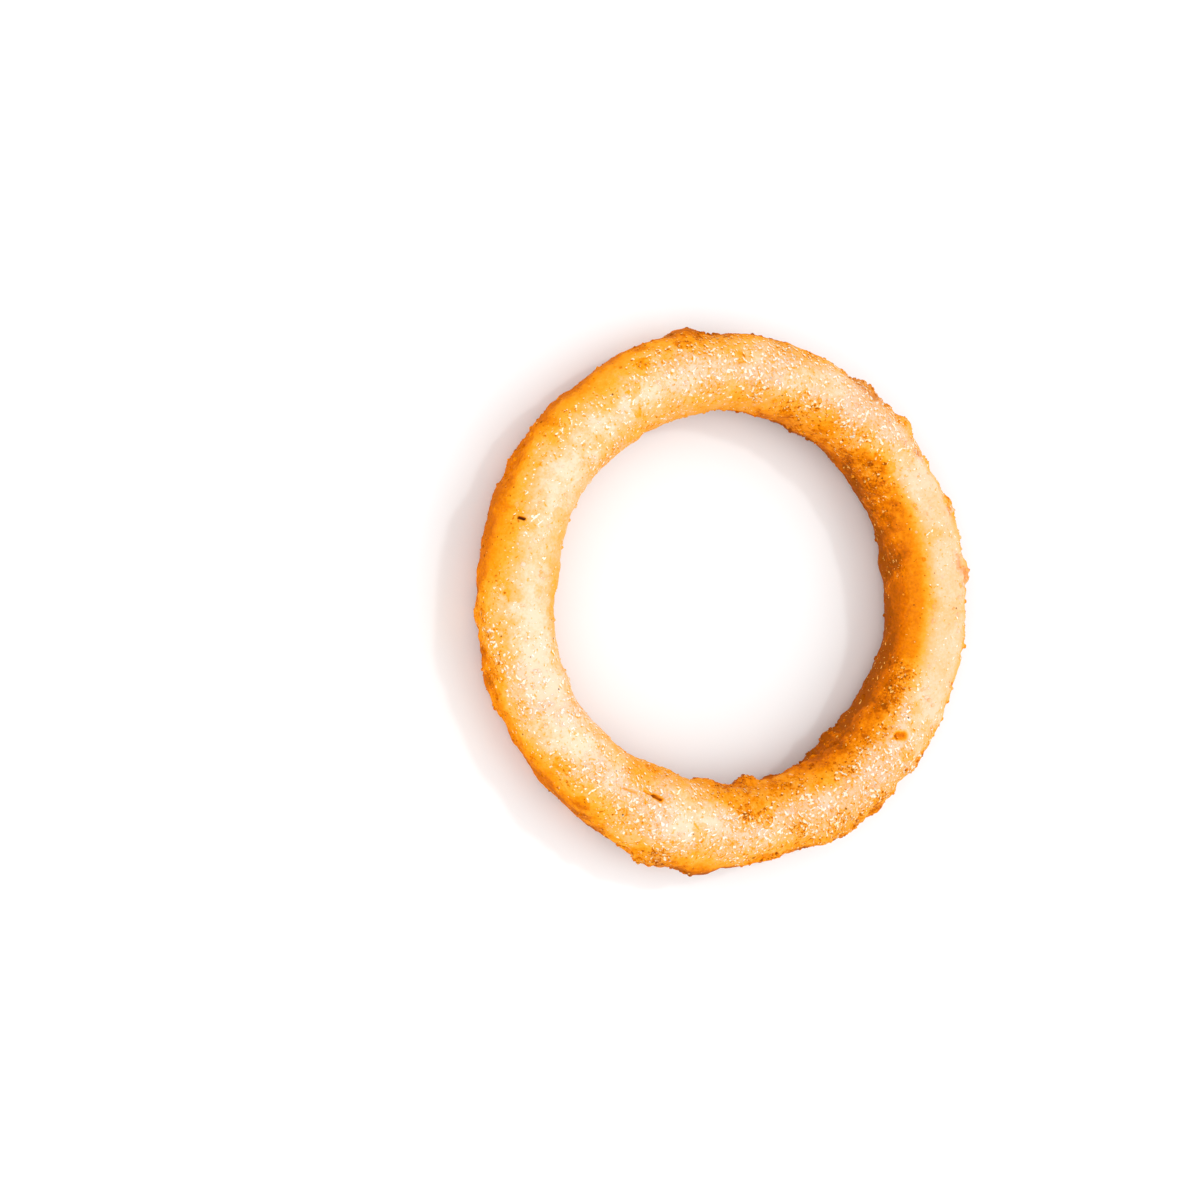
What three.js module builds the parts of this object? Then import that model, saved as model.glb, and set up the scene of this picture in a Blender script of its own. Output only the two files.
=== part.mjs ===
// A battered onion ring, deep fried, lying flat on its underside. Millimetres, +Z up.
// The origin is under the middle of the ring, on the surface that it lies on.
// The band runs round +Z. Directions round the ring start at +X and go towards +Y.
import * as THREE from "three";
import { mergeVertices } from "three/addons/utils/BufferGeometryUtils.js";

// Driving sizes
const RING_LENGTH = 84.5; // over the outside, along Y
const RING_WIDTH = 84.5; // over the outside, along X
const BAND_WIDTH = 12.5; // from the hole to the outside
const BAND_HEIGHT = 13.4; // from the underside to the crest
const SECTION_POWER = 2.3; // 2 gives an oval band, more gives squarer shoulders
const BASE_PRESS = 0.45; // depth of the soft underside that was pressed flat as it drained

// The ring lies on three places and lifts a little between them
const REST_PLACES = 3;
const REST_DIRECTION = 100; // of one of the places, in degrees
const LIFT = 0.6; // of the band, midway between two places

// The triangles: steps round the ring, and round the band's section
const RING_STEPS = 156;
const SECTION_STEPS = 36;

// Where the band is thick or thin, or bent: [direction in degrees, added width, shift outwards, spread in degrees]
const SWELLS = [
  [40, -1, -0.5, 18],
  [70, -0.5, -0.25, 14],
  [150, -0.5, 0.25, 20],
  [195, -1.5, 0.25, 25],
  [255, 1.5, -0.25, 16],
  [285, -0.5, -0.75, 10],
  [318, 1, -0.5, 18],
];
const SWELL_HEIGHT_SHARE = 0.5; // how much of a swell also goes into the band's height

// Single knobs and hollows of the crust: [direction, place on the section, both in degrees, rise, reach].
// The section starts at the outside and goes up: 90 is the crest, 180 faces the hole.
const KNOBS = [
  [7, 30, 0.75, 2.5],
  [22, 24, 0.75, 2.5],
  [43, 18, 1.25, 3],
  [55, 15, 0.75, 3],
  [100, 0, 1, 4],
  [157, -15, 0.5, 4],
  [250, -5, 0.75, 4],
  [262, 0, 1, 4],
  [297, 10, 1, 3.5],
  [306, 15, 0.75, 2.5],
  [320, 20, 0.5, 3],
  [65, 185, 0.5, 3],
  [78, 185, 0.5, 3],
  [245, 172, 0.5, 4],
  [262, 182, 0.75, 3],
  [276, 183, 1.5, 2.5],
  [310, 195, 0.75, 3],
];

// The batter's scattered relief: sizes of the features, and how far they stand out
const LUMP_SIZE = 11;
const LUMP_RISE = 0.5;
const CRAG_SIZE = 3.4;
const CRAG_RISE = 0.75;
const CRAG_SHARE = 0.75; // of the places for a crag that hold one
const CRAG_SINK = 0.3; // of a crag's rise, by which the batter between them lies back
const NUB_SIZE = 6.5;
const NUB_RISE = 1;
const NUB_SHARE = 0.22;
const LUMP_SEED = 10;
const CRAG_SEED = 251;
const NUB_SEED = 127;

// The crags and nubs come and go in patches: their size, and the share of the relief in them
const PATCH_SIZE = 15;
const PATCH_MIDDLE = 0.6;
const PATCH_SWING = 0.8;
const SMOOTHEST = 0.25;
const PATCH_SEED = 23;

// A scattered dome: its least reach and what chance adds, in cells, and its least size and the rest of it
const DOME_REACH = [0.55, 0.4];
const DOME_SIZE = [0.4, 0.6];
const DOME_POWER = 1.5; // how gently a dome or knob runs out at its foot

const NOISE_GAIN = 1.7; // brings the noise to about -1 to 1

const { abs, atan2, cos, exp, floor, hypot, imul, max, min, PI, round, sin } = Math;
const TURN = 2 * PI;
const radians = (degrees) => (degrees * PI) / 180;
const total = (numbers) => numbers.reduce((sum, number) => sum + number, 0);
const ease = (t) => t * t * t * (t * (6 * t - 15) + 10);
const dome = (share) => max(0, 1 - share ** 2) ** DOME_POWER;

// Scrambles a corner of the unit lattice into 32 random bits, always the same ones.
function cornerBits(i, j, k, seed) {
  let h = imul(i, 0x27d4eb2d) ^ imul(j, 0x165667b1) ^ imul(k, 0x9e3779b1) ^ imul(seed, 0x85ebca6b);
  h = imul(h ^ (h >>> 15), 0x85ebca6b);
  h = imul(h ^ (h >>> 13), 0xc2b2ae35);
  return (h ^ (h >>> 16)) >>> 0;
}

// Ten of those bits as a number from 0 to 1.
const TEN_BITS = 1023;
const fraction = (bits, shift) => ((bits >>> shift) & TEN_BITS) / TEN_BITS;
const lean = (bits, shift) => 2 * fraction(bits, shift) - 1;

// Smooth noise from about -1 to 1: each corner leans its own way, and the leans are blended.
function leaningNoise(p, size, seed) {
  const [x, y, z] = [p.x / size, p.y / size, p.z / size];
  const [i, j, k] = [floor(x), floor(y), floor(z)];
  let sum = 0;
  for (let corner = 0; corner < 8; corner++) {
    const [a, b, c] = [corner & 1, (corner >> 1) & 1, corner >> 2];
    const bits = cornerBits(i + a, j + b, k + c, seed);
    const [dx, dy, dz] = [x - i - a, y - j - b, z - k - c];
    const slope = dx * lean(bits, 0) + dy * lean(bits, 10) + dz * lean(bits, 20);
    sum += slope * ease(1 - abs(dx)) * ease(1 - abs(dy)) * ease(1 - abs(dz));
  }
  return NOISE_GAIN * sum;
}

// Rounded domes scattered one to a cell at most, from 0 between them to 1 on the tallest.
function scatteredDomes(p, size, share, seed) {
  const [x, y, z] = [p.x / size, p.y / size, p.z / size];
  const [i, j, k] = [floor(x), floor(y), floor(z)];
  const neighbours = [-1, 0, 1];
  let tallest = 0;
  for (const a of neighbours)
    for (const b of neighbours)
      for (const c of neighbours) {
        const place = cornerBits(i + a, j + b, k + c, seed);
        const kind = cornerBits(i + a, j + b, k + c, seed + 1);
        if (fraction(kind, 0) > share) continue;
        const away = hypot(
          i + a + fraction(place, 0) - x,
          j + b + fraction(place, 10) - y,
          k + c + fraction(place, 20) - z,
        );
        const reach = DOME_REACH[0] + DOME_REACH[1] * fraction(kind, 10);
        const height = DOME_SIZE[0] + DOME_SIZE[1] * fraction(kind, 20);
        tallest = max(tallest, height * dome(away / reach));
      }
  return tallest;
}

// A bell curve round a direction: 1 there, running out on both sides.
function bell(around, at, spread) {
  const apart = atan2(sin(around - radians(at)), cos(around - radians(at)));
  return exp(-((apart / radians(spread)) ** 2));
}

// What the thick and thin places add to the width, and how far they move the band outwards.
const swell = (around) => total(SWELLS.map(([at, wider, , spread]) => wider * bell(around, at, spread)));
const shift = (around) => total(SWELLS.map(([at, , outwards, spread]) => outwards * bell(around, at, spread)));

// Distance of the band's middle line from the ring's axis: an ellipse, shifted here and there.
function middleRadius(around) {
  const [a, b] = [(RING_WIDTH - BAND_WIDTH) / 2, (RING_LENGTH - BAND_WIDTH) / 2];
  return (a * b) / hypot(b * cos(around), a * sin(around)) + shift(around);
}

// A point of the smooth band. section goes round the band: 0 faces out, a quarter turn faces up.
function bandPoint(around, section) {
  const halfWidth = (BAND_WIDTH + swell(around)) / 2;
  const halfHeight = (BAND_HEIGHT + SWELL_HEIGHT_SHARE * swell(around)) / 2;
  const [c, s] = [cos(section), sin(section)];
  const square = (abs(c) ** SECTION_POWER + abs(s) ** SECTION_POWER) ** (-1 / SECTION_POWER);
  const radius = middleRadius(around) + halfWidth * square * c;
  const lift = (LIFT * (1 - cos(REST_PLACES * (around - radians(REST_DIRECTION))))) / 2;
  const z = halfHeight * (1 + square * s) - BASE_PRESS + lift;
  return new THREE.Vector3(radius * cos(around), radius * sin(around), z);
}

const knobs = KNOBS.map(([direction, section, rise, reach]) => {
  return { middle: bandPoint(radians(direction), radians(section)), rise, reach };
});

// How far the batter stands out at a point of the smooth band.
function relief(p) {
  const patch = PATCH_MIDDLE + PATCH_SWING * leaningNoise(p, PATCH_SIZE, PATCH_SEED);
  const rough = min(1, max(SMOOTHEST, patch));
  const lumps = LUMP_RISE * leaningNoise(p, LUMP_SIZE, LUMP_SEED);
  const crags = CRAG_RISE * (scatteredDomes(p, CRAG_SIZE, CRAG_SHARE, CRAG_SEED) - CRAG_SINK);
  const nubs = NUB_RISE * scatteredDomes(p, NUB_SIZE, NUB_SHARE, NUB_SEED);
  const single = knobs.map(({ middle, rise, reach }) => rise * dome(p.distanceTo(middle) / reach));
  return lumps + rough * (crags + nubs) + total(single);
}

// A point of the batter's surface: the smooth band's, moved out by the relief and pressed flat below.
function batterPoint(around, section) {
  const point = bandPoint(around, section);
  const out = new THREE.Vector3(cos(section) * cos(around), cos(section) * sin(around), sin(section));
  point.addScaledVector(out, relief(point));
  point.z = max(0, point.z);
  return point;
}

// The ring: a torus whose every vertex is moved to its place on the batter.
function ringGeometry() {
  const torus = new THREE.TorusGeometry(RING_LENGTH / 2, BAND_WIDTH / 2, SECTION_STEPS, RING_STEPS);
  torus.deleteAttribute("normal");
  const uv = torus.getAttribute("uv");
  const place = torus.getAttribute("position");
  for (let i = 0; i < place.count; i++) {
    const around = (round(uv.getX(i) * RING_STEPS) % RING_STEPS) * (TURN / RING_STEPS);
    const section = (round(uv.getY(i) * SECTION_STEPS) % SECTION_STEPS) * (TURN / SECTION_STEPS);
    const point = batterPoint(around, section);
    place.setXYZ(i, point.x, point.y, point.z);
  }
  torus.deleteAttribute("uv");
  const ring = mergeVertices(torus);
  ring.computeBoundingBox();
  const middle = ring.boundingBox.getCenter(new THREE.Vector3());
  return ring.translate(-middle.x, -middle.y, 0);
}

const friedBatter = new THREE.MeshStandardMaterial({ color: 0xe5a04a, roughness: 0.55, metalness: 0 });

const ring = new THREE.Mesh(ringGeometry(), friedBatter);
ring.name = "onion_ring";
const onionRing = new THREE.Group();
onionRing.add(ring);
export default onionRing;
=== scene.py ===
"""A battered, deep-fried onion ring: its crust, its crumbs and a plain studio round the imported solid.

Lengths in the property groups are in metres. The form is worked out in millimetres, as the solid's is,
and put into the meshes in metres. Directions round the ring start at +X and go towards +Y. The band's
section starts at the outside and goes up: 90 degrees is the crest, 180 faces the hole, 270 is the underside.
"""

from itertools import combinations

import bpy
import numpy as np
from bpy.props import FloatProperty, FloatVectorProperty, IntProperty, PointerProperty
from mathutils import Matrix, Vector


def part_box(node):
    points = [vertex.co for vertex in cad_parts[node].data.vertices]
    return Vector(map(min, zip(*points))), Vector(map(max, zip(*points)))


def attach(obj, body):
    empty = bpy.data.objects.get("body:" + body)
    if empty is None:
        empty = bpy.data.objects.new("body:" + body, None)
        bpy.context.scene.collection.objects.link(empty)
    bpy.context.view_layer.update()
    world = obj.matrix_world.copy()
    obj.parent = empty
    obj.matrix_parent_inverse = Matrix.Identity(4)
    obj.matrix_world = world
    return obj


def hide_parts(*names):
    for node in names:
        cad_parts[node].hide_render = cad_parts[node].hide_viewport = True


bl_info = {
    "name": "Battered onion ring",
    "version": (1, 0, 0),
    "blender": (4, 5, 0),
    "location": "3D View > Sidebar > Onion ring",
    "description": "Builds a fried batter crust with its crumbs, and a plain studio, round a packed ring",
    "category": "Add Mesh",
}

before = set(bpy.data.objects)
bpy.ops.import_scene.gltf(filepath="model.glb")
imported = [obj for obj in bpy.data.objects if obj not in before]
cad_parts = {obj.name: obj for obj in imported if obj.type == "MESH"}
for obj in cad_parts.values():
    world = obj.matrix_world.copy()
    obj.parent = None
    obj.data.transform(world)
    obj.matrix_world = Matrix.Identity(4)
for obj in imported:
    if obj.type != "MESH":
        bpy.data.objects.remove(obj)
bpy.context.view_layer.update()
RING_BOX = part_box("onion_ring")
BATTER = "crisp_golden_batter"

MM = 0.001
TURN = 2 * np.pi

# The solid's own form, in millimetres and degrees
SECTION_POWER = 2.3  # 2 gives an oval band, more gives squarer shoulders
REST_PLACES = 3
REST_DIRECTION = 100
LIFT = 0.6  # of the band, midway between two places that it rests on
SOLID_STEPS = (156, 36)  # round the ring, and round the section
SWELLS = [  # direction, added width, shift outwards, spread
    (40, -1, -0.5, 18),
    (70, -0.5, -0.25, 14),
    (150, -0.5, 0.25, 20),
    (195, -1.5, 0.25, 25),
    (255, 1.5, -0.25, 16),
    (285, -0.5, -0.75, 10),
    (318, 1, -0.5, 18),
]
SWELL_HEIGHT_SHARE = 0.5
KNOBS = [  # direction, place on the section, rise, reach
    (7, 30, 0.75, 2.5),
    (22, 24, 0.75, 2.5),
    (43, 18, 1.25, 3),
    (55, 15, 0.75, 3),
    (100, 0, 1, 4),
    (157, -15, 0.5, 4),
    (250, -5, 0.75, 4),
    (262, 0, 1, 4),
    (297, 10, 1, 3.5),
    (306, 15, 0.75, 2.5),
    (320, 20, 0.5, 3),
    (65, 185, 0.5, 3),
    (78, 185, 0.5, 3),
    (245, 172, 0.5, 4),
    (262, 182, 0.75, 3),
    (276, 183, 1.5, 2.5),
    (310, 195, 0.75, 3),
]
LUMPS = dict(size=11, rise=0.5, seed=10)
CRAGS = dict(size=3.4, rise=0.75, share=0.75, seed=251, sink=0.3)
NUBS = dict(size=6.5, rise=1.0, share=0.22, seed=127)
PATCHES = dict(size=15, middle=0.6, swing=0.8, least=0.25, most=1, seed=23)
DOME_REACH = (0.55, 0.4)  # the least, and what chance adds, in cells
DOME_SIZE = (0.4, 0.6)  # the least, and the rest of it
DOME_POWER = 1.5  # how gently a dome or knob runs out at its foot
NOISE_GAIN = 1.7  # brings the noise to about -1 to 1
TEN_BITS = 1023

# The crust's finer relief, only in the looks
PEBBLES = dict(size=1.3, share=0.85, seed=411)
GRIT = dict(size=0.8, share=0.85, seed=523)
CLODS = dict(size=1.9, share=0.8, seed=617)
FINE_SINK = 0.35  # of the rise of pebbles and grit, by which the batter between them lies back
CLOD_SINK = 0.3  # the same for the clods
FINE_SHARE = (0.55, 0.45)  # of the fine relief: what stands everywhere, and what comes and goes in patches
BROKEN = dict(size=3.1, middle=0.7, swing=0.8, least=0, most=1.3, seed=71)  # breaks up the rough places
SECTION_CROWDING = 0.3  # brings the crust's steps closer together on the crest

# Where the batter dripped and broke up: direction, place on the section, reach, strength
ROUGH_PLACES = [
    (54, 12, 9, 1.2),
    (36, 22, 7, 1.0),
    (22, 24, 6, 1.1),
    (8, 28, 7, 1.1),
    (352, 24, 6, 0.9),
    (336, 24, 8, 0.8),
    (96, -4, 6, 0.5),
    (252, -8, 9, 0.8),
    (276, -4, 9, 0.8),
    (298, 4, 8, 0.8),
    (318, 10, 8, 0.6),
    (270, 182, 8, 0.7),
    (310, 196, 8, 0.6),
    (64, 200, 6, 0.4),
    (88, 186, 6, 0.4),
    (198, -22, 6, 0.25),
    (150, -20, 7, 0.3),
]

# Burst bubbles and cracks: two ends, each a direction and a place on the section, radius, depth, darkness of
# their browning and painted shade
PITS = [
    ((162, 54), (162, 61), 0.25, 0.6, 1.6),
    ((239, 106), (242, 105), 0.15, 0.45, 0.5),
    ((242, 105), (244, 104), 0.35, 0.45, 0.85),
    ((234, 93), (237, 97), 0.2, 0.35, 0.3),
    ((321, 98), (322, 91), 0.8, 0.45, 0.7),
]
PIT_FOOT = 1.1  # where its wall runs out, in radii
PIT_RIM = (1.3, 0.35)  # where its lip stands and how wide that is, in radii
PIT_LIP = 0.35  # of its depth, by which the lip stands up
PIT_SHADE = (1.25, 0.5)  # where its dark mark ends and how softly, in radii

# Where flakes with painted glints cover the batter, or, below 0, hardly show: direction, place on the section,
# reach, strength
CRUMBLY_PLACES = [
    (284, 70, 10, 0.5),
    (296, 84, 12, 0.7),
    (310, 96, 9, 0.6),
    (262, 104, 8, 0.5),
    (248, 78, 8, 0.4),
    (236, 100, 8, 0.3),
    (205, 112, 8, 0.4),
    (212, 60, 9, 0.3),
    (190, 62, 8, 0.3),
    (163, 62, 7, 0.6),
    (146, 52, 8, 0.5),
    (128, 70, 9, 0.3),
    (108, 62, 10, 0.5),
    (95, 84, 10, 0.5),
    (78, 72, 12, 0.6),
    (58, 108, 9, 0.6),
    (50, 52, 9, 0.4),
    (352, 168, 9, 0.1),
    (14, 166, 9, 0.5),
    (32, 158, 8, 0.5),
    (334, 172, 8, 0.3),
    (172, 96, 12, -0.7),
    (152, 100, 9, -0.4),
    (186, 96, 9, -0.4),
    (24, 82, 11, -0.5),
    (4, 86, 13, -0.7),
    (344, 84, 12, -0.6),
    (0, 130, 8, -0.5),
    (20, 128, 7, -0.4),
    (350, 128, 6, -0.5),
    (337, 124, 4, 0.9),
    (329, 122, 4, 0.8),
    (300, 150, 8, -0.5),
    (96, 152, 8, -0.5),
    (216, 20, 12, -0.4),
    (166, 10, 10, -0.6),
    (146, 10, 12, -0.6),
    (124, 14, 12, -0.6),
    (318, 84, 8, 0.3),
    (270, 92, 9, 0.5),
    (222, 84, 8, 0.3),
    (186, 64, 8, 0.3),
    (173, 47, 6, 0.6),
]

# How brown the batter is, with painted light and shade in it: palest on the crest, partly as painted highlight,
# and browner on the walls and underneath, partly as painted shade. From 0 for the palest cream to 1 for deep
# orange and 1.25 for the darkest
BROWNING_AND_SHADE = dict(
    crest=0.18,
    outer=(5, 80, 0.86),  # from and to degrees off the crest, added browning
    outer_power=1.1,  # over 1, the browning there starts slowly
    outer_later=(20, 28),  # the direction where the outside turns brown lower down, and by how many degrees: painted light on the side the light comes from
    outer_steeper=1.1,  # of those degrees, by which the browning's run there is shorter
    inner=(5, 44, 0.5),  # the direction where the inside is darker, and by how much: painted shade on the side facing away from the light
    inner_darker=(-8, 0.28),  # the direction where the inside is darker, and by how much
    inner_foot=(45, 90, 0.32),  # painted shade added lower down, all of it on the darker side
    under=(80, 120, 1.1),  # from and to degrees off the crest, the browning of the underside: painted shade, darkest there
)
BROWNED = [  # direction, place on the section, reach, added browning
    (75, 40, 8, 0.1),
    (95, 35, 8, 0.2),
    (50, 30, 8, 0.1),
    (150, 100, 10, -0.15),
    (162, 35, 8, 0.1),
    (185, 25, 12, -0.2),
    (205, 40, 12, -0.2),
    (205, 100, 10, -0.15),
    (222, 110, 8, -0.15),
    (232, 55, 8, 0.1),
    (240, 75, 5, 0.15),
    (245, 40, 10, -0.15),
    (250, 125, 8, -0.2),
    (265, 15, 8, 0.15),
    (265, 75, 8, -0.1),
    (271, 115, 5, 0.3),
    (283, 55, 10, 0.2),
    (300, 50, 8, 0.2),
    (330, 75, 8, -0.1),
]
SLOW_MOTTLE = dict(size=7, seed=301)
SLOW_MOTTLE_SHARE = 0.16
QUICK_MOTTLE = dict(size=3.2, seed=307)
QUICK_MOTTLE_SHARE = 0.14
MOTTLE_LOSS = 0.5  # share of the mottling that the brownest batter loses
SMOOTH_MOTTLE = (0.8, 0.4)  # how fast mottling fades as flakes grow rare, and the least of it that stays

# The batter's dots: how many to a metre, core and rim in cells, and the least random number of a dotted cell
AMBER_SPOTS = dict(scale=230, core=0.29, rim=0.34, least=0.45)
PORES = dict(scale=900, core=0.08, rim=0.16, least=0.6)
SPECKS = dict(scale=400, core=0.04, rim=0.085, least=0.55, channel=1)

# The flakes of crust, drawn out two ways, painted pale as glints: painted highlights
GLINT_FLAKE_SCALES = {-50: 2150.0, 40: 1790.0}  # by the degrees that they are turned, how many to a metre
GLINT_FLAKE_STRETCH = 1.5
FLAKE_SHADOW_ASIDE = 0.2 * MM  # how far the browner rim, a painted shadow, lies beside a flake
# The flakes' colours by the browning: painted highlights, whiter on pale batter and warmer on brown
FLAKE_GLINT_COLOURS = [(0.0, (1.0, 0.93, 0.82)), (0.6, (1.0, 0.86, 0.62)), (1.0, (1.0, 0.55, 0.12))]

SHADE_PLACES = (0.0, 0.16, 0.32, 0.48, 0.64, 0.8, 1.0)  # of the batter's colours on its ramp, pale to darkest
RAMP_SHARE = 0.8  # of the ramp, at browning 1
DRIER_SIDE = (-20 * MM, 40 * MM)  # along X, over which the batter turns drier

CRUMB_SEED = 84
CRUMB_TRIES = 6  # random places tried for each crumb
CRUMB_ARC = (-35, 215)  # of the section, in degrees
CRUMBS_ANYWHERE = 0.08  # share of the tries that hold even where the crust is smooth
CRUMB_SIZE_POWER = 2.2  # over 1, most crumbs are small
CRUMB_STRETCH = (0.7, 1.3)
CRUMB_KNOBS = 0.3
CRUMB_SINK = 0.35  # of its radius, by which a crumb sits in the crust
CRUMB_BROWNING = 0.15  # how much the browning differs from crumb to crumb
CRUMB_ROUGHENED = (0.4, 1.5)  # from and to, times the crust's own

FLOOR_HALF = 3.0  # of the floor's side, in metres
FLOOR_SHADE = 0.97  # of the floor's colour, in its darker grain
LIGHTS = {  # where each comes from, and how wide it is in degrees
    "key": ((0.72, -0.12, 0.68), 60),
    "fill": ((-0.8, -0.1, 0.6), 80),
    "glint": ((0.45, 0.3, 0.84), 5),
}
LENS = 85  # millimetres, on a 36 mm sensor
SENSOR = 36
CLIP = (0.01, 20)  # metres from the camera
AIM_HEIGHT = 6.5 * MM

COLOUR = dict(subtype="COLOR", size=3, min=0, max=1)


class RingSizes(bpy.types.PropertyGroup):
    """The ring's main sizes."""

    ring_length: FloatProperty(
        name="Ring length", description="Over the outside, along Y", default=84.5 * MM, unit="LENGTH"
    )
    ring_width: FloatProperty(
        name="Ring width", description="Over the outside, along X", default=84.5 * MM, unit="LENGTH"
    )
    band_width: FloatProperty(
        name="Band width", description="From the hole to the outside", default=12.5 * MM, unit="LENGTH"
    )
    band_height: FloatProperty(
        name="Band height", description="From the underside to the crest", default=13.4 * MM, unit="LENGTH"
    )
    base_press: FloatProperty(
        name="Base press", description="Depth pressed flat underneath", default=0.45 * MM, unit="LENGTH"
    )
    steps_round: IntProperty(
        name="Steps round", description="Of the crust, round the ring", default=700, min=60
    )
    steps_section: IntProperty(
        name="Steps across", description="Of the crust, round the section", default=142, min=24
    )


class BatterRelief(bpy.types.PropertyGroup):
    """How far the crust's fine relief stands out."""

    pebble_rise: FloatProperty(
        name="Pebble rise", description="Of the small lumps", default=0.2 * MM, unit="LENGTH"
    )
    grit_rise: FloatProperty(
        name="Grit rise", description="Of the finest lumps", default=0.13 * MM, unit="LENGTH"
    )
    clod_rise: FloatProperty(
        name="Clod rise",
        description="Of the broken lumps in the rough places",
        default=0.75 * MM,
        unit="LENGTH",
    )
    rough_gain: FloatProperty(
        name="Rough places", description="Added share of fine relief there", default=1.6
    )


class BatterLooks(bpy.types.PropertyGroup):
    """The fried batter's colours and shine."""

    # Picked by the browning mark, these colours also carry painted light on the crest and painted shade on the
    # walls and underside.
    pale: FloatVectorProperty(
        name="Pale", description="Palest batter", default=(0.95, 0.68, 0.48), **COLOUR
    )
    cream: FloatVectorProperty(
        name="Cream", description="Batter on the crest", default=(0.95, 0.555, 0.285), **COLOUR
    )
    butter: FloatVectorProperty(
        name="Butter", description="Light golden batter", default=(0.95, 0.455, 0.12), **COLOUR
    )
    golden: FloatVectorProperty(
        name="Golden", description="Golden batter", default=(0.95, 0.40, 0.03), **COLOUR
    )
    orange: FloatVectorProperty(
        name="Orange", description="Well fried batter", default=(0.94, 0.30, 0.003), **COLOUR
    )
    deep: FloatVectorProperty(
        name="Deep orange", description="Dark batter of the walls", default=(0.68, 0.155, 0.0), **COLOUR
    )
    darkest: FloatVectorProperty(
        name="Darkest", description="Darkest batter of the walls", default=(0.36, 0.08, 0.0), **COLOUR
    )
    peach: FloatVectorProperty(
        name="Peach", description="Dry, coarse batter", default=(0.95, 0.44, 0.21), **COLOUR
    )
    toast: FloatVectorProperty(
        name="Toasted", description="Toasted crags", default=(0.68, 0.2, 0.04), **COLOUR
    )
    speck: FloatVectorProperty(
        name="Speck", description="Burnt specks", default=(0.10, 0.025, 0.005), **COLOUR
    )
    roughness: FloatProperty(
        name="Roughness", description="Of the oily crust", default=0.42, min=0, max=1, subtype="FACTOR"
    )
    glow: FloatProperty(
        name="Glow",
        description="Share of light that goes into the batter",
        default=0.1,
        min=0,
        max=1,
        subtype="FACTOR",
    )
    glow_depth: FloatProperty(
        name="Glow depth", description="How far light travels in it", default=1.2 * MM, unit="LENGTH"
    )


class CrumbSettings(bpy.types.PropertyGroup):
    """The crumbs fused to the crust."""

    count: IntProperty(name="Crumbs", description="How many", default=2400, min=1)
    smallest: FloatProperty(name="Smallest", description="Radius", default=0.1 * MM, unit="LENGTH")
    largest: FloatProperty(name="Largest", description="Radius", default=0.45 * MM, unit="LENGTH")


class StageSettings(bpy.types.PropertyGroup):
    """Floor, lights and camera."""

    floor_colour: FloatVectorProperty(
        name="Floor", description="Pale floor", default=(0.9, 0.925, 0.935), **COLOUR
    )
    sky: FloatProperty(name="Fill", description="Strength of the soft light all round", default=0.8)
    key: FloatProperty(name="Key", description="Strength of the broad soft light", default=1.0)
    fill: FloatProperty(
        name="Fill lamp", description="Strength of the broad soft light from the other side", default=1.1
    )
    glint: FloatProperty(
        name="Glint", description="Strength of the small light that makes the crust sparkle", default=0.35
    )
    tilt: FloatProperty(name="Camera height", description="Above the horizon, in degrees", default=66.0)
    distance: FloatProperty(name="Distance", description="Camera to ring", default=447 * MM, unit="LENGTH")
    aside: FloatProperty(
        name="Aside",
        description="How far the camera stands to the left of the ring",
        default=20.3 * MM,
        unit="LENGTH",
    )
    above: FloatProperty(
        name="Above",
        description="How far the camera stands towards the top of its picture",
        default=0.26 * MM,
        unit="LENGTH",
    )


def settings(name):
    """One of the scene's property groups."""
    return getattr(bpy.context.scene, "onion_ring_" + name)


def corner_bits(corner, seed):
    """32 random bits for each corner (..., 3) of the unit lattice, the same ones as in the solid's source."""
    i, j, k = np.moveaxis(corner.astype(np.int64).astype(np.uint32), -1, 0)
    with np.errstate(over="ignore"):
        h = i * np.uint32(0x27D4EB2D) ^ j * np.uint32(0x165667B1) ^ k * np.uint32(0x9E3779B1)
        h ^= np.uint32((seed * 0x85EBCA6B) & 0xFFFFFFFF)
        h = (h ^ (h >> np.uint32(15))) * np.uint32(0x85EBCA6B)
        h = (h ^ (h >> np.uint32(13))) * np.uint32(0xC2B2AE35)
    return h ^ (h >> np.uint32(16))


def fraction(bits, shift):
    """Ten of the bits as numbers from 0 to 1."""
    return ((bits >> np.uint32(shift)) & np.uint32(TEN_BITS)) / float(TEN_BITS)


def leaning_noise(p, size, seed):
    """Smooth noise from about -1 to 1: each corner of a lattice leans its own way.

    The leans are blended by the quintic t^3 (6 t^2 - 15 t + 10)."""
    p = p / size
    cell = np.floor(p)
    total = np.zeros(p.shape[:-1])
    for corner in range(8):
        at = cell + (corner & 1, corner >> 1 & 1, corner >> 2)
        bits, away = corner_bits(at, seed), p - at
        slope = sum(away[..., n] * (2 * fraction(bits, 10 * n) - 1) for n in range(3))
        t = 1 - np.abs(away)
        total += slope * np.prod(t**3 * (6 * t**2 - 15 * t + 10), axis=-1)
    return NOISE_GAIN * total


def dome(share):
    """1 at 0, falling smoothly to 0 at 1: (1 - share^2)^1.5."""
    return np.maximum(0, 1 - share**2) ** DOME_POWER


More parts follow.
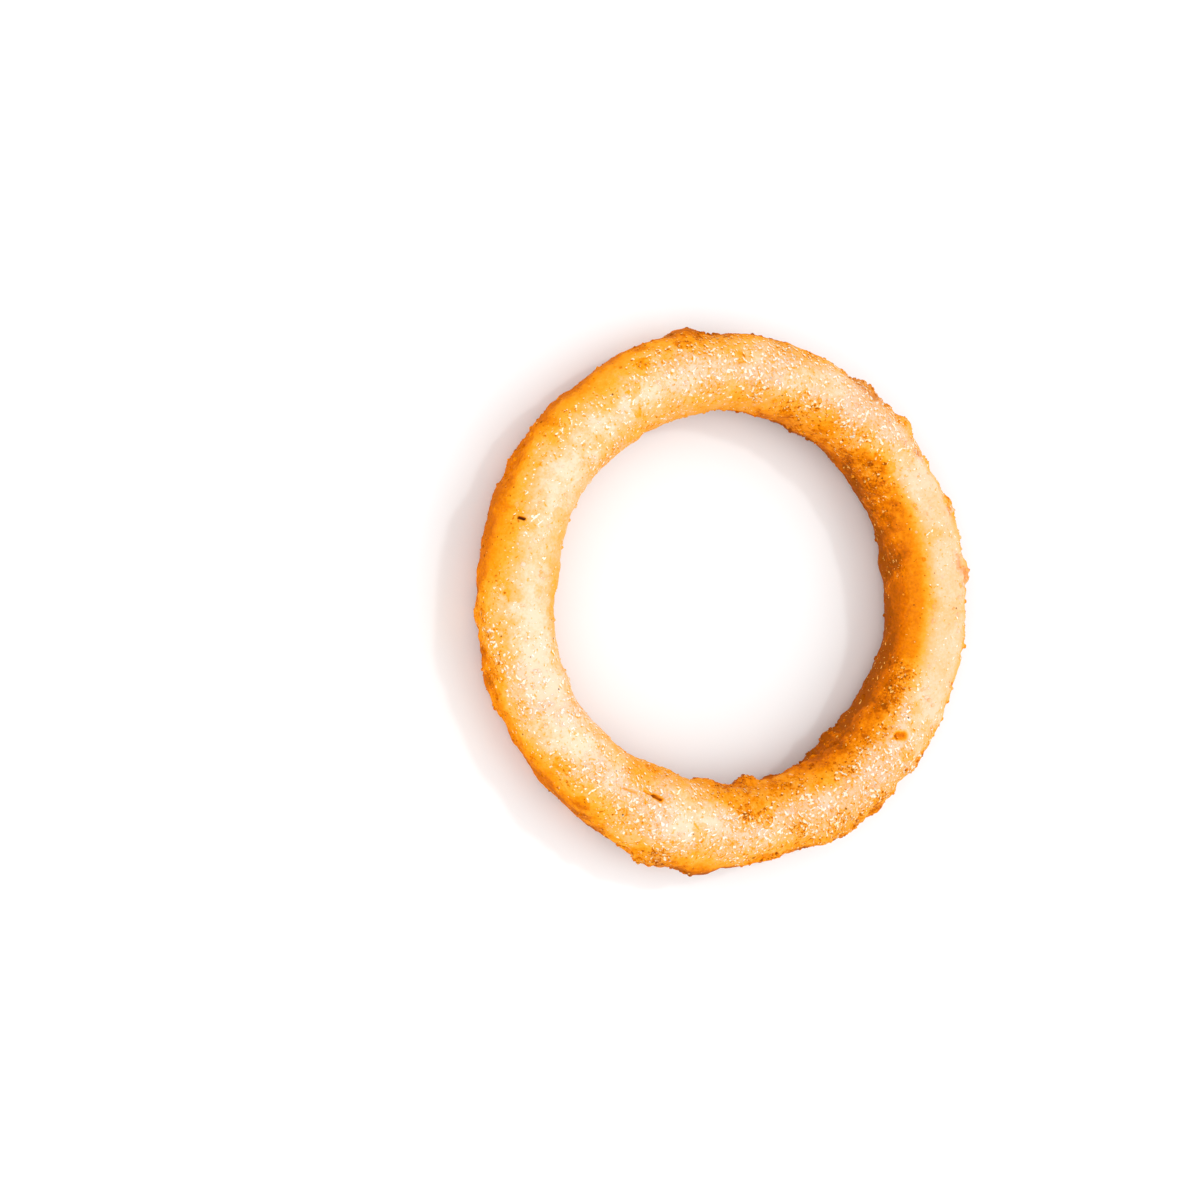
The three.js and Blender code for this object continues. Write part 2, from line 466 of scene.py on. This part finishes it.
def scattered_domes(p, size, share, seed, **_):
    """Rounded domes, one to a lattice cell at most: the tallest of those near, from 0 to 1."""
    p = p / size
    cell = np.floor(p)
    tallest = np.zeros(p.shape[:-1])
    for step in np.ndindex(3, 3, 3):
        at = cell + np.array(step) - 1
        place, kind = corner_bits(at, seed), corner_bits(at, seed + 1)
        middle = at + np.stack([fraction(place, 10 * n) for n in range(3)], axis=-1)
        reach = DOME_REACH[0] + DOME_REACH[1] * fraction(kind, 10)
        height = DOME_SIZE[0] + DOME_SIZE[1] * fraction(kind, 20)
        rise = height * dome(np.linalg.norm(p - middle, axis=-1) / reach)
        tallest = np.maximum(tallest, np.where(fraction(kind, 0) > share, 0, rise))
    return tallest


def bell(around, at, spread):
    """1 at a direction, running out on both sides: e^-(apart / spread)^2."""
    apart = np.angle(np.exp(1j * (around - np.radians(at))))
    return np.exp(-((apart / np.radians(spread)) ** 2))


def middle_radius(around):
    """Distance of the band's middle line from the axis: an ellipse, plus bell curves at shifted places."""
    s = settings("sizes")
    a, b = (s.ring_width - s.band_width) / 2 / MM, (s.ring_length - s.band_width) / 2 / MM
    shift = sum(outwards * bell(around, at, spread) for at, _, outwards, spread in SWELLS)
    return a * b / np.hypot(b * np.cos(around), a * np.sin(around)) + shift


def swell(around):
    """Added width of the band: a bell curve round each thick or thin place."""
    return sum(wider * bell(around, at, spread) for at, wider, _, spread in SWELLS)


def band_point(around, section):
    """The smooth band: a superellipse |x|^n + |z|^n = 1 of the local size, carried round the middle line."""
    s = settings("sizes")
    half_width = (s.band_width / MM + swell(around)) / 2
    half_height = (s.band_height / MM + SWELL_HEIGHT_SHARE * swell(around)) / 2
    c, n = np.cos(section), np.sin(section)
    square = (np.abs(c) ** SECTION_POWER + np.abs(n) ** SECTION_POWER) ** (-1 / SECTION_POWER)
    radius = middle_radius(around) + half_width * square * c
    lift = LIFT * (1 - np.cos(REST_PLACES * (around - np.radians(REST_DIRECTION)))) / 2
    z = half_height * (1 + square * n) - s.base_press / MM + lift
    return np.stack([radius * np.cos(around), radius * np.sin(around), z], axis=-1)


def outwards(around, section):
    """Unit vectors out of the band's middle line, in the section's plane."""
    c, n = np.cos(section), np.sin(section)
    return np.stack([c * np.cos(around), c * np.sin(around), n], axis=-1)


def place_on_band(direction, section):
    """The point of the smooth band at a direction and a place on the section, both in degrees."""
    return band_point(np.radians(float(direction)), np.radians(float(section)))


def from_line(p, start, end):
    """Distance of each point from the straight line between two places of the band."""
    a, b = place_on_band(*start), place_on_band(*end)
    along = np.clip((p - a) @ (b - a) / ((b - a) @ (b - a)), 0, 1)
    return np.linalg.norm(p - a - along[..., None] * (b - a), axis=-1)


def places(p, rows):
    """For each row (direction, place on the section, ...): how far each point is from it, and the row."""
    for row in rows:
        yield np.linalg.norm(p - place_on_band(*row[:2]), axis=-1), row


def patchy(p, size, middle, swing, least, most, seed):
    """A share at each point that comes and goes in slow patches."""
    return np.clip(middle + swing * leaning_noise(p, size, seed), least, most)


def solid_relief(p):
    """How far the solid stands out of the smooth band: lumps, patches of crags and nubs, and single knobs."""
    lumps = LUMPS["rise"] * leaning_noise(p, LUMPS["size"], LUMPS["seed"])
    crags = CRAGS["rise"] * (scattered_domes(p, **CRAGS) - CRAGS["sink"])
    nubs = NUBS["rise"] * scattered_domes(p, **NUBS)
    single = sum(rise * dome(away / reach) for away, (_, _, rise, reach) in places(p, KNOBS))
    return lumps + patchy(p, **PATCHES) * (crags + nubs) + single


def pressed(p):
    """Points below the surface that the ring lies on, brought up to it."""
    p = p.copy()
    p[..., 2] = np.maximum(0, p[..., 2])
    return p


def ring_offset():
    """From the form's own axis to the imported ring's place, in millimetres, found on the solid's own steps."""
    around, section = np.meshgrid(*(np.arange(n) * TURN / n for n in SOLID_STEPS), indexing="ij")
    band = band_point(around, section)
    p = pressed(band + solid_relief(band)[..., None] * outwards(around, section)).reshape(-1, 3)
    low, high = (np.array(corner) / MM for corner in RING_BOX)
    return (low + high) / 2 - (p.min(axis=0) + p.max(axis=0)) / 2


def eased(angle, start, end):
    """From 0 to 1 while the angle, in radians, goes from start to end, in degrees: t^2 (3 - 2 t)."""
    t = np.clip((np.degrees(angle) - start) / (end - start), 0, 1)
    return t**2 * (3 - 2 * t)


def browning(around, section, band, crumbly):
    """Browning by place, with painted light and shade in it: least on the crest, more towards the outside and
    the hole, partly as browning and partly as painted highlight on the crest and painted shade on the walls.
    The inside is darker on one side and lower down there, as painted shade; the outside stays paler lower down
    on the lit side, as painted light; the underside is darkest, as painted shade.

    Single places are browner or paler, and two sizes of mottling lie over all of it."""
    b = BROWNING_AND_SHADE
    from_crest = np.angle(np.exp(1j * (section - TURN / 4)))
    later, by = b["outer_later"]
    later = by * np.maximum(0, np.cos(around - np.radians(later)))
    darker, more = b["inner_darker"]
    inner = b["inner"][2] + more * np.cos(around - np.radians(darker))
    start, end, outer = b["outer"]
    off = (np.degrees(-from_crest) - start - later) / (end - start - b["outer_steeper"] * later)
    off = np.clip(off, 0, 1) ** b["outer_power"]
    brown_and_shade = b["crest"] + outer * off + inner * eased(from_crest, *b["inner"][:2])
    brown_and_shade = brown_and_shade + (b["under"][2] - brown_and_shade) * eased(np.abs(from_crest), *b["under"][:2])
    for away, (_, _, reach, added) in places(band, BROWNED):
        brown_and_shade = brown_and_shade + added * dome(away / reach)
    foot = b["inner_foot"][2] * (1 + np.cos(around - np.radians(darker))) / 2
    brown_and_shade = brown_and_shade + foot * eased(from_crest, *b["inner_foot"][:2])
    mottle = SLOW_MOTTLE_SHARE * leaning_noise(band, **SLOW_MOTTLE)
    mottle = mottle + QUICK_MOTTLE_SHARE * leaning_noise(band, **QUICK_MOTTLE)
    fading, least = SMOOTH_MOTTLE
    return brown_and_shade + mottle * (1 - MOTTLE_LOSS * np.clip(brown_and_shade, 0, 1)) * np.clip(1 + fading * crumbly, least, 1)


def crust_surface(around, section):
    """The crust in millimetres with its marks: the solid's surface with pebbles, grit, clods and lipped pits.

    Returns the points and, for each point, roughened from 0 to about 1, fine relief in millimetres, the pits'
    browning and painted shade, crumbly, and browning with painted light and shade, from 0 for cream to 1 for
    deep golden."""
    relief = settings("relief")
    band = band_point(around, section)
    rough = np.zeros(band.shape[:-1])
    for away, (_, _, reach, strength) in places(band, ROUGH_PLACES):
        rough = np.maximum(rough, strength * dome(away / reach))
    rough = rough * patchy(band, **BROKEN)
    pebbles, grit = scattered_domes(band, **PEBBLES), scattered_domes(band, **GRIT)
    gain = FINE_SHARE[0] + FINE_SHARE[1] * patchy(band, **PATCHES) + relief.rough_gain * rough
    fine = relief.pebble_rise / MM * (pebbles - FINE_SINK) + relief.grit_rise / MM * (grit - FINE_SINK)
    fine = gain * fine + rough * relief.clod_rise / MM * (scattered_domes(band, **CLODS) - CLOD_SINK)
    pit = np.zeros(band.shape[:-1])
    for start, end, radius, depth, dark in PITS:
        share = from_line(band, start, end) / radius
        lip = np.exp(-(((share - PIT_RIM[0]) / PIT_RIM[1]) ** 2))
        fine = fine - depth * dome(share / PIT_FOOT) + PIT_LIP * depth * lip
        # In pits and cracks the batter is browner and darker: browning and painted shade.
        pit = np.maximum(pit, dark * np.clip((PIT_SHADE[0] - share) / PIT_SHADE[1], 0, 1))
    crumbly = np.zeros(band.shape[:-1])
    for away, (_, _, reach, strength) in places(band, CRUMBLY_PLACES):
        crumbly = crumbly + strength * dome(away / reach)
    p = band + (solid_relief(band) + fine)[..., None] * outwards(around, section)
    brown_and_shade = browning(around, section, band, crumbly)
    return pressed(p), {"roughened": rough, "fine": fine, "pit": pit, "crumbly": crumbly, "browning": brown_and_shade}


def make_mesh(name, points, faces, marks):
    """A smooth mesh object from points in metres, (n, 4) or (n, 3) faces, and marks, a number per point."""
    mesh = bpy.data.meshes.new(name)
    mesh.vertices.add(len(points))
    mesh.vertices.foreach_set("co", points.astype(np.float32).ravel())
    mesh.loops.add(faces.size)
    mesh.loops.foreach_set("vertex_index", faces.astype(np.int32).ravel())
    mesh.polygons.add(len(faces))
    mesh.polygons.foreach_set("loop_start", np.arange(len(faces), dtype=np.int32) * faces.shape[1])
    mesh.polygons.foreach_set("use_smooth", np.ones(len(faces), dtype=bool))
    mesh.update(calc_edges=True)
    for mark, values in marks.items():
        attribute = mesh.attributes.new(mark, "FLOAT", "POINT")
        attribute.data.foreach_set("value", values.astype(np.float32).ravel())
    if mesh.validate():
        raise RuntimeError(f"{name} came out with faulty faces")
    piece = bpy.data.objects.new(name, mesh)
    bpy.context.scene.collection.objects.link(piece)
    return piece


def crust_steps():
    """The crust's grid, with steps that are closer at the crest than underneath: section = u + 0.3 cos u."""
    s = settings("sizes")
    u = np.arange(s.steps_section) * TURN / s.steps_section
    around = np.arange(s.steps_round) * TURN / s.steps_round
    return np.meshgrid(around, u + SECTION_CROWDING * np.cos(u), indexing="ij")


def grid_faces(rows, columns):
    """Quads of a grid that closes on itself both ways, facing outwards."""
    i, j = np.meshgrid(np.arange(rows), np.arange(columns), indexing="ij")
    k, m = (i + 1) % rows, (j + 1) % columns
    corners = [i * columns + j, k * columns + j, k * columns + m, i * columns + m]
    return np.stack(corners, axis=-1).reshape(-1, 4)


class Nodes:
    """Puts shader nodes into a material, one call each."""

    def __init__(self, name):
        self.material = bpy.data.materials.new(name)
        self.material.use_nodes = True
        self.tree = self.material.node_tree
        self.tree.nodes.clear()
        self.at = self.add("TexCoord").outputs["Object"]

    def add(self, kind, inputs=(), **settings_):
        """A node with its settings, its inputs given as {socket: value or output}."""
        node = self.tree.nodes.new("ShaderNode" + kind)
        for key, value in settings_.items():
            setattr(node, key, value)
        for key, value in dict(inputs).items():
            if isinstance(value, bpy.types.NodeSocket):
                self.tree.links.new(value, node.inputs[key])
            else:
                node.inputs[key].default_value = value
        return node

    def sum(self, *parts):
        """Adds up numbers and outputs."""
        total = parts[0]
        for part in parts[1:]:
            total = self.add("Math", {0: total, 1: part}, operation="ADD").outputs[0]
        return total

    def times(self, a, b):
        """Multiplies two numbers or outputs."""
        return self.add("Math", {0: a, 1: b}, operation="MULTIPLY").outputs[0]

    def larger(self, a, b):
        """The larger of two numbers or outputs."""
        return self.add("Math", {0: a, 1: b}, operation="MAXIMUM").outputs[0]

    def between(self, value, low, high, start=0.0, end=1.0):
        """Maps low..high smoothly to start..end."""
        return self.add(
            "MapRange",
            {"Value": value, "From Min": low, "From Max": high, "To Min": start, "To Max": end},
            interpolation_type="SMOOTHSTEP",
        ).outputs[0]

    def mark(self, name):
        """One of the marks that the mesh carries."""
        return self.add("Attribute", attribute_name=name).outputs["Fac"]

    def noise(self, scale, detail=3.0, rough=0.5):
        """Cloudy noise from 0 to 1, scale features to a metre."""
        inputs = {"Vector": self.at, "Scale": scale, "Detail": detail, "Roughness": rough}
        return self.add("TexNoise", inputs).outputs["Fac"]

    def spread(self, scale, detail=3.0, rough=0.5, width=1.0):
        """Noise round zero, about as wide as width."""
        return self.times(self.sum(self.noise(scale, detail, rough), -0.5), width)

    def dots(self, scale, core, rim, least, channel=0, wobble=0.0):
        """Dots in the cells whose random number is over least: 1 within core of the middle, 0 past rim."""
        cells = self.add("TexVoronoi", {"Vector": self.at, "Scale": scale, "Randomness": 1.0}).outputs
        dot = self.between(self.sum(cells["Distance"], wobble), core, rim, 1, 0)
        number = self.add("SeparateColor", {"Color": cells["Color"]}).outputs[channel]
        return self.times(dot, self.between(number, least, least + 0.02))

    def ramp(self, value, stops):
        """A colour ramp through (place, colour) stops."""
        node = self.add("ValToRGB", {"Fac": value})
        points = node.color_ramp.elements
        while len(points) < len(stops):
            points.new(0.5)
        for point, (place, shade) in zip(points, stops):
            point.position, point.color = place, colour(shade)
        return node.outputs["Color"]

    def mix(self, share, a, b):
        """Colour a to b by share."""
        node = self.add("Mix", data_type="RGBA")
        for socket, value in zip([node.inputs[0], node.inputs[6], node.inputs[7]], [share, a, b]):
            if isinstance(value, bpy.types.NodeSocket):
                self.tree.links.new(value, socket)
            else:
                socket.default_value = value
        return node.outputs[2]


def colour(value):
    """A colour with its alpha."""
    return (*value, 1.0)


def glint_flakes(n, aside=0.0):
    """Noise for flakes of crust with painted glints, drawn out two ways, and moved aside to paint a browner
    shadow beside them.
    """
    both = []
    for turn, scale in GLINT_FLAKE_SCALES.items():
        stretch = {
            "Vector": n.at,
            "Location": (-aside, -aside, aside),
            "Rotation": (0, 0, np.radians(turn)),
            "Scale": (GLINT_FLAKE_STRETCH, 1, 1),
        }
        stretched = n.add("Mapping", stretch, vector_type="TEXTURE").outputs[0]
        inputs = {"Vector": stretched, "Scale": scale, "Detail": 1.0, "Roughness": 0.4}
        both.append(n.add("TexNoise", inputs).outputs["Fac"])
    return n.larger(*both)


def batter_zones(n):
    """Three zones, each from 0 to 1: the brown walls, the smooth batter and the crumbly batter."""
    wall = n.between(n.mark("browning"), 0.55, 0.85)
    smooth = n.between(n.mark("crumbly"), -0.5, 0.0, 1, 0)
    crumbly = n.sum(
        n.mark("crumbly"),
        n.times(n.mark("roughened"), 0.6),
        n.times(n.mark("pit"), -3.0),
        n.spread(170, detail=4, rough=0.65, width=3.0),
    )
    return wall, smooth, n.between(crumbly, -0.1, 0.8)


def batter_mottling(n, wall, smooth, crumbly):
    """Mottling with amber spots, calmer on the walls and on smooth batter, and a slower one on the walls."""
    amber = n.dots(**AMBER_SPOTS, wobble=n.spread(420, rough=0.6, width=0.9))
    mottle = n.sum(
        n.spread(230, detail=4, rough=0.6, width=0.8),
        n.spread(800, rough=0.6, width=0.6),
        n.times(amber, 0.24),
        n.times(crumbly, -0.04),
    )
    mottle = n.times(mottle, n.sum(1.0, n.times(wall, -0.5), n.times(smooth, -0.5)))
    on_walls = n.times(wall, n.spread(330, rough=0.6, width=0.8))
    return n.sum(mottle, n.times(on_walls, n.sum(1.0, n.times(smooth, -0.8))))


def batter_glint_flakes(n, wall, smooth, crumbly):
    """The flakes with their painted glints, more on crumbly batter and fewer on walls, smooth batter and pits,
    and their rims of painted shadow.
    """
    more = n.sum(
        n.times(crumbly, 0.06),
        n.times(wall, -0.055),
        n.times(smooth, -0.05),
        n.times(n.mark("pit"), -0.15),
    )
    flake_and_glint = n.between(n.sum(glint_flakes(n), more), 0.675, 0.715)
    # A browner rim moved aside from each flake: painted shadow
    flake_shadow = n.between(n.sum(glint_flakes(n, FLAKE_SHADOW_ASIDE), more), 0.655, 0.705)
    return flake_and_glint, flake_shadow


def batter_browning_and_shade(n, wall, mottle, crumbly, flake_shadow):
    """The browning mark with its painted light and shade and its mottling, browner in pores and pits, with
    painted shade in crevices, in the hollows of the fine relief, in pits and beside flakes.
    """
    depth = n.sum(0.45, crumbly, n.times(wall, -0.1))
    # A fine grain of browner crevices: painted shade
    crevice_shade = n.times(n.spread(2200, rough=0.65, width=-1.1), depth)
    # Browner in the hollows of the fine relief and paler on its tops: painted shade and painted light
    brown_and_shade = n.sum(n.mark("browning"), -0.04, mottle, crevice_shade, n.times(n.mark("fine"), -0.3))
    pore = n.dots(**PORES)
    # Browner beside each flake as painted shadow, in pores, and in pits with their painted shade
    return n.sum(brown_and_shade, n.times(flake_shadow, 0.35), n.times(pore, 0.4), n.times(n.mark("pit"), 0.9))


def batter_colour(n, brown_and_shade, crumbly, flake_and_glint):
    """Cream to deep orange by the browning with its painted light and shade, then drier, toasted, with painted
    glints on the flakes, and specked.
    """
    looks = settings("looks")
    shades = [looks.pale, looks.cream, looks.butter, looks.golden, looks.orange, looks.deep, looks.darkest]
    batter = n.ramp(n.times(brown_and_shade, RAMP_SHARE), list(zip(SHADE_PLACES, shades)))
    along_x = n.add("SeparateXYZ", {"Vector": n.at}).outputs["X"]
    drier = n.sum(n.times(crumbly, 0.2), n.between(along_x, *DRIER_SIDE, 0, 0.25))
    batter = n.mix(n.times(drier, n.between(brown_and_shade, 0.1, 0.9, 1.0, 0.0)), batter, colour(looks.peach))
    crags = n.sum(n.mark("roughened"), n.spread(900, width=1.2))
    batter = n.mix(n.between(crags, 0.5, 1.1, 0, 0.55), batter, colour(looks.toast))
    # Painted glints: the flakes turn pale, whiter on pale batter and warmer on brown.
    batter = n.mix(flake_and_glint, batter, n.ramp(brown_and_shade, FLAKE_GLINT_COLOURS))
    # Burnt specks, and black in the darkest pits and cracks as painted shade.
    speck = n.larger(n.times(n.dots(**SPECKS), 0.85), n.between(n.mark("pit"), 0.6, 1.2))
    return n.mix(speck, batter, colour(looks.speck))


def batter_bump(n, crumbly, flake_and_glint):
    """A fine grain, coarser on crumbly batter, with the flakes standing up."""
    grain = n.sum(
        n.spread(1500, rough=0.7, width=1.2),
        n.spread(800, detail=2, width=0.8),
        n.times(flake_and_glint, 0.4),
    )
    height = n.sum(n.times(grain, n.sum(0.3, n.times(crumbly, 0.8))), n.times(crumbly, 0.2))
    return n.add("Bump", {"Height": height, "Strength": 1.0, "Distance": 0.35 * MM}).outputs[0]


def fried_batter():
    """The oily fried batter, with its colour, painted light and shade in it, shine and grain by the marks that
    the mesh carries.
    """
    looks = settings("looks")
    n = Nodes(BATTER)
    wall, smooth, crumbly = batter_zones(n)
    mottle = batter_mottling(n, wall, smooth, crumbly)
    flake_and_glint, flake_shadow = batter_glint_flakes(n, wall, smooth, crumbly)
    brown_and_shade = batter_browning_and_shade(n, wall, mottle, crumbly, flake_shadow)
    shine = n.sum(looks.roughness, n.spread(500, detail=2, width=0.4), n.times(crumbly, 0.1))
    shader = n.add(
        "BsdfPrincipled",
        {
            "Base Color": batter_colour(n, brown_and_shade, crumbly, flake_and_glint),
            "Roughness": shine,
            "Subsurface Weight": looks.glow,
            "Subsurface Scale": looks.glow_depth,
            "Subsurface Radius": (1.0, 0.7, 0.35),
            "Specular IOR Level": 0.0,
            "Coat Weight": 0.08,
            "Coat Roughness": 0.15,
            "Normal": batter_bump(n, crumbly, flake_and_glint),
        },
    )
    n.add("OutputMaterial", {"Surface": shader.outputs[0]})
    return n.material


def batter_material():
    """The batter's material, made once."""
    return bpy.data.materials.get(BATTER) or fried_batter()


class ONION_RING_OT_crust(bpy.types.Operator):
    """Makes the ring's crust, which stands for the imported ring"""

    bl_idname = "onion_ring.crust"
    bl_label = "Make the crust"

    def execute(self, context):
        around, section = crust_steps()
        points, marks = crust_surface(around, section)
        points = (points + ring_offset()).reshape(-1, 3) * MM
        piece = make_mesh("onion_ring_crust", points, grid_faces(*around.shape), marks)
        piece.data.materials.append(batter_material())
        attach(piece, "root")
        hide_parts("onion_ring")
        return {"FINISHED"}


def lump_shape():
    """A ball of 80 triangles: an icosahedron divided once, as points on the unit sphere and faces."""
    golden = (1 + 5**0.5) / 2
    points = [np.roll((0, y, z * golden), n) for n in range(3) for y in (-1, 1) for z in (-1, 1)]
    points = np.array(points) / np.hypot(1, golden)
    apart = np.linalg.norm(points[:, None] - points[None], axis=-1)
    joined = (apart > 0) & (apart < 1.1)  # an edge is 1.05 long
    triples = combinations(range(len(points)), 3)
    corners = np.array([three for three in triples if all(joined[pair] for pair in combinations(three, 2))])
    a, b, c = (points[corners[:, n]] for n in range(3))
    sums = (a + b, b + c, c + a)
    ab, bc, ca = (both / np.linalg.norm(both, axis=-1, keepdims=True) for both in sums)
    parts = ((a, ab, ca), (b, bc, ab), (c, ca, bc), (ab, bc, ca))
    faces = np.concatenate([np.stack(part, axis=1) for part in parts])
    normals = np.cross(faces[:, 1] - faces[:, 0], faces[:, 2] - faces[:, 0])
    inward = np.einsum("ij,ij->i", normals, faces[:, 0]) < 0
    faces[inward] = faces[inward][:, ::-1]
    unique, index = np.unique(np.round(faces.reshape(-1, 3), 6), axis=0, return_inverse=True)
    return unique, index.reshape(-1, 3)


def crumb_places(count, chance):
    """Random places on the crust, most of them where it is rough and none in a pit.

    Returns their points, the directions out of the crust there, and their marks."""
    tries = CRUMB_TRIES * count
    around, section = chance.random(tries) * TURN, np.radians(chance.uniform(*CRUMB_ARC, tries))
    points, marks = crust_surface(around, section)
    wanted = chance.random(tries) < CRUMBS_ANYWHERE + (1 - CRUMBS_ANYWHERE) * marks["roughened"]
    kept = np.nonzero(wanted & (marks["pit"] == 0))[0][:count]
    out = outwards(around[kept], section[kept])
    return points[kept], out, {name: values[kept] for name, values in marks.items()}


def crumb_lumps(ball, radius, chance):
    """The ball once for each radius, stretched, knobbly and turned any way."""
    count = len(radius)
    stretch = chance.uniform(*CRUMB_STRETCH, (count, 1, 3))
    knobbly = 1 + CRUMB_KNOBS * (chance.random((count, len(ball), 1)) - 0.5)
    turn = np.linalg.qr(chance.normal(size=(count, 3, 3)))[0]
    turn[:, :, 0] *= np.sign(np.linalg.det(turn))[:, None]
    return np.einsum("nij,nkj->nki", turn, ball[None] * knobbly * stretch) * radius[:, None, None]


class ONION_RING_OT_crumbs(bpy.types.Operator):
    """Makes the crumbs of batter that are fused to the crust"""

    bl_idname = "onion_ring.crumbs"
    bl_label = "Make the crumbs"

    def execute(self, context):
        s = settings("crumbs")
        chance = np.random.default_rng(CRUMB_SEED)
        points, out, marks = crumb_places(s.count, chance)
        count = len(points)
        ball, faces = lump_shape()
        small, large = s.smallest / MM, s.largest / MM
        radius = small + (large - small) * chance.random(count) ** CRUMB_SIZE_POWER
        lumps = crumb_lumps(ball, radius, chance)
        middle = points + ring_offset() - out * (CRUMB_SINK * radius)[:, None]
        cloud = pressed(lumps + middle[:, None])
        every = np.repeat(np.arange(count) * len(ball), len(faces))[:, None] + np.tile(faces, (count, 1))
        marks = {name: np.repeat(values, len(ball)) for name, values in marks.items()}
        marks["browning"] += np.repeat(chance.normal(0, CRUMB_BROWNING, count), len(ball))
        marks["roughened"] *= np.repeat(chance.uniform(*CRUMB_ROUGHENED, count), len(ball))
        marks["fine"] *= 0
        piece = make_mesh("onion_ring_crumbs", cloud.reshape(-1, 3) * MM, every, marks)
        piece.data.materials.append(batter_material())
        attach(piece, "root")
        return {"FINISHED"}


def soft_light(name, toward, spread, strength):
    """A broad far lamp that shines from a direction, as wide as spread in degrees."""
    data = bpy.data.lights.new(name, "SUN")
    data.angle, data.energy = np.radians(spread), strength
    lamp = bpy.data.objects.new(name, data)
    lamp.rotation_euler = Vector(toward).to_track_quat("Z", "Y").to_euler()
    bpy.context.scene.collection.objects.link(lamp)


def make_floor(s):
    """A pale floor, wide enough to fill the picture."""
    n = Nodes("pale_floor")
    darker = [FLOOR_SHADE * v for v in s.floor_colour]
    shade = n.mix(n.noise(40.0), colour(s.floor_colour), colour(darker))
    shader = n.add("BsdfPrincipled", {"Base Color": shade, "Roughness": 0.9, "Specular IOR Level": 0.1})
    n.add("OutputMaterial", {"Surface": shader.outputs[0]})
    corners = FLOOR_HALF * np.array([(-1, -1, 0), (1, -1, 0), (1, 1, 0), (-1, 1, 0)])
    floor = make_mesh("floor", corners, np.array([[0, 1, 2, 3]]), {})
    floor.data.materials.append(n.material)


def make_world(s):
    """A white world that gives soft light all round."""
    world = bpy.data.worlds.new("studio")
    world.use_nodes = True
    background = world.node_tree.nodes["Background"]
    background.inputs["Color"].default_value = (1, 1, 1, 1)
    background.inputs["Strength"].default_value = s.sky
    bpy.context.scene.world = world


def make_camera(s):
    """A camera on the -X side, high above the horizon, with +Y at the top of its picture."""
    tilt = np.radians(s.tilt)
    back = Vector((-np.cos(tilt), 0, np.sin(tilt)))
    up = Vector((0, 1, 0))
    right = up.cross(back)
    camera = bpy.data.objects.new("camera", bpy.data.cameras.new("camera"))
    camera.data.lens, camera.data.sensor_width = LENS, SENSOR
    camera.data.clip_start, camera.data.clip_end = CLIP
    place = Vector((0, 0, AIM_HEIGHT)) + back * s.distance - right * s.aside + up * s.above
    camera.matrix_world = Matrix.Translation(place) @ Matrix((right, up, back)).transposed().to_4x4()
    bpy.context.scene.collection.objects.link(camera)
    bpy.context.scene.camera = camera


class ONION_RING_OT_stage(bpy.types.Operator):
    """Makes the pale floor, the soft lights and the camera"""

    bl_idname = "onion_ring.stage"
    bl_label = "Make the stage"

    def execute(self, context):
        s = settings("stage")
        make_floor(s)
        make_world(s)
        for name, (toward, spread) in LIGHTS.items():
            soft_light(name, toward, spread, getattr(s, name))
        context.scene.view_settings.view_transform = "Standard"
        make_camera(s)
        return {"FINISHED"}


class ONION_RING_PT_panel(bpy.types.Panel):
    """Lists the ring's sizes and its makers"""

    bl_idname = "ONION_RING_PT_panel"
    bl_label = "Battered onion ring"
    bl_space_type = "VIEW_3D"
    bl_region_type = "UI"
    bl_category = "Onion ring"

    def draw(self, context):
        for name, group in GROUPS.items():
            box = self.layout.box()
            for prop in group.__annotations__:
                box.prop(settings(name), prop)
        for maker in MAKERS:
            self.layout.operator(maker.bl_idname)


GROUPS = {
    "sizes": RingSizes,
    "relief": BatterRelief,
    "looks": BatterLooks,
    "crumbs": CrumbSettings,
    "stage": StageSettings,
}
MAKERS = [ONION_RING_OT_crust, ONION_RING_OT_crumbs, ONION_RING_OT_stage]


def register():
    for group in [*GROUPS.values(), *MAKERS, ONION_RING_PT_panel]:
        bpy.utils.register_class(group)
    for name, group in GROUPS.items():
        setattr(bpy.types.Scene, "onion_ring_" + name, PointerProperty(type=group))


def unregister():
    for name in GROUPS:
        delattr(bpy.types.Scene, "onion_ring_" + name)
    for group in [ONION_RING_PT_panel, *MAKERS, *GROUPS.values()]:
        bpy.utils.unregister_class(group)


def main():
    register()
    bpy.ops.onion_ring.crust()
    bpy.ops.onion_ring.crumbs()
    bpy.ops.onion_ring.stage()


if __name__ == "__main__":
    main()
